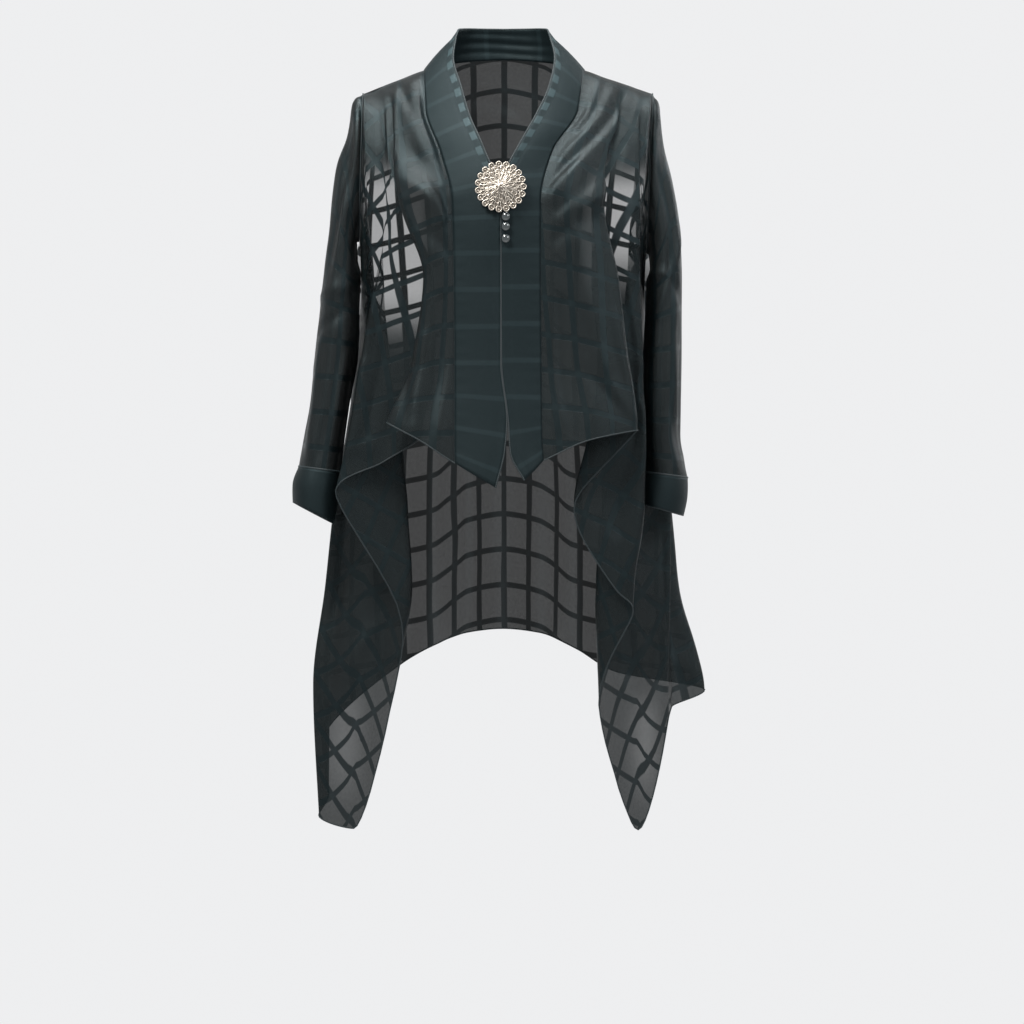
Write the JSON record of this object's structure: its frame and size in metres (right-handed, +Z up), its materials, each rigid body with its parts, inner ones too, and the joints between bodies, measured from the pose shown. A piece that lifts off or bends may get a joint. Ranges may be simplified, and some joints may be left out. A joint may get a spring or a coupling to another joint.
{
  "type": "kebaya blouse",
  "caption": "Dark sheer checked kebaya blouse with a folded neckband, round filigree brooch, domed buttons, long sleeves and trailing side tails.",
  "frame": {"origin": "midway between the two points where the shoulder seams meet the neckband, where the wearer's shoulders hold the garment", "axes": "+Z up the wearer, -Y the garment's front, +X to the right as seen from the front"},
  "size_m": [0.5921, 0.2876, 1.1503],
  "materials": {
    "sheer_check": "sheer plain weave with satin check bars",
    "folded_band": "folded double cloth, satin",
    "dark_button": "gloss",
    "pale_silver": "satin pale silver"
  },
  "bodies": {
    "root": {"front_left": "sheer_check", "front_right": "sheer_check", "back": "sheer_check", "sleeve_left": "sheer_check", "sleeve_right": "sheer_check", "band_left": "folded_band", "band_right": "folded_band", "collar_back": "folded_band", "cuff_left": "folded_band", "cuff_right": "folded_band", "button_1": "dark_button", "button_2": "dark_button", "button_3": "dark_button", "brooch_plate": "pale_silver", "brooch_rosette": "pale_silver", "brooch_centre": "pale_silver"}
  },
  "joints": []
}
